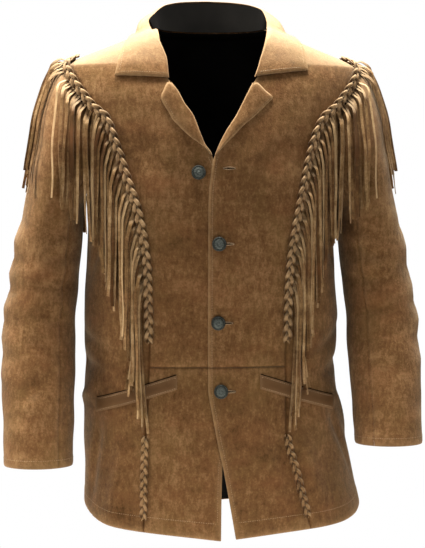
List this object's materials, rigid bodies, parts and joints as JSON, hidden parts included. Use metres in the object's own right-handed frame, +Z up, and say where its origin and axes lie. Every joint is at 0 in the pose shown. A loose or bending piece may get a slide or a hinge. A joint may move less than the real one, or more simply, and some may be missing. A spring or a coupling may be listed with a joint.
{
  "type": "suede western jacket",
  "caption": "Hollow hip-length suede jacket as worn, with a notched collar, braided yoke and chest seams, long fringe, slanted welt pockets and a buttoned front.",
  "frame": {"origin": "midway between the two points where the shoulder seams meet the neck, where the wearer's shoulders carry the jacket", "axes": "+Z up along the upright body, -Y the way the jacket faces, +X towards the jacket's own left side"},
  "size_m": [0.665, 0.2811, 0.844],
  "materials": {
    "suede": "brushed suede, matt",
    "fringe": "cut suede strands, matt",
    "pocket_leather": "smoother leather, low sheen",
    "lining": "plain dark lining cloth",
    "button_metal": "dark aged metal"
  },
  "bodies": {
    "root": {"back_left": "suede", "back_right": "suede", "back_yoke": "suede", "braid_left": "suede", "braid_right": "suede", "braid_low_left": "suede", "braid_low_right": "suede", "button_top": "button_metal", "button_chest": "button_metal", "button_middle": "button_metal", "button_low": "button_metal", "collar": "suede", "collar_stand": "lining", "fringe_left": "fringe", "fringe_right": "fringe", "front_lower_left": "suede", "front_lower_right": "suede", "front_side_left": "suede", "front_side_right": "suede", "front_upper_left": "suede", "front_upper_right": "suede", "lapel_left": "suede", "lapel_right": "suede", "lining_back": "lining", "pocket_welt_left": "pocket_leather", "pocket_welt_right": "pocket_leather", "sleeve_top_left": "suede", "sleeve_top_right": "suede", "sleeve_under_left": "suede", "sleeve_under_right": "suede"}
  },
  "joints": []
}
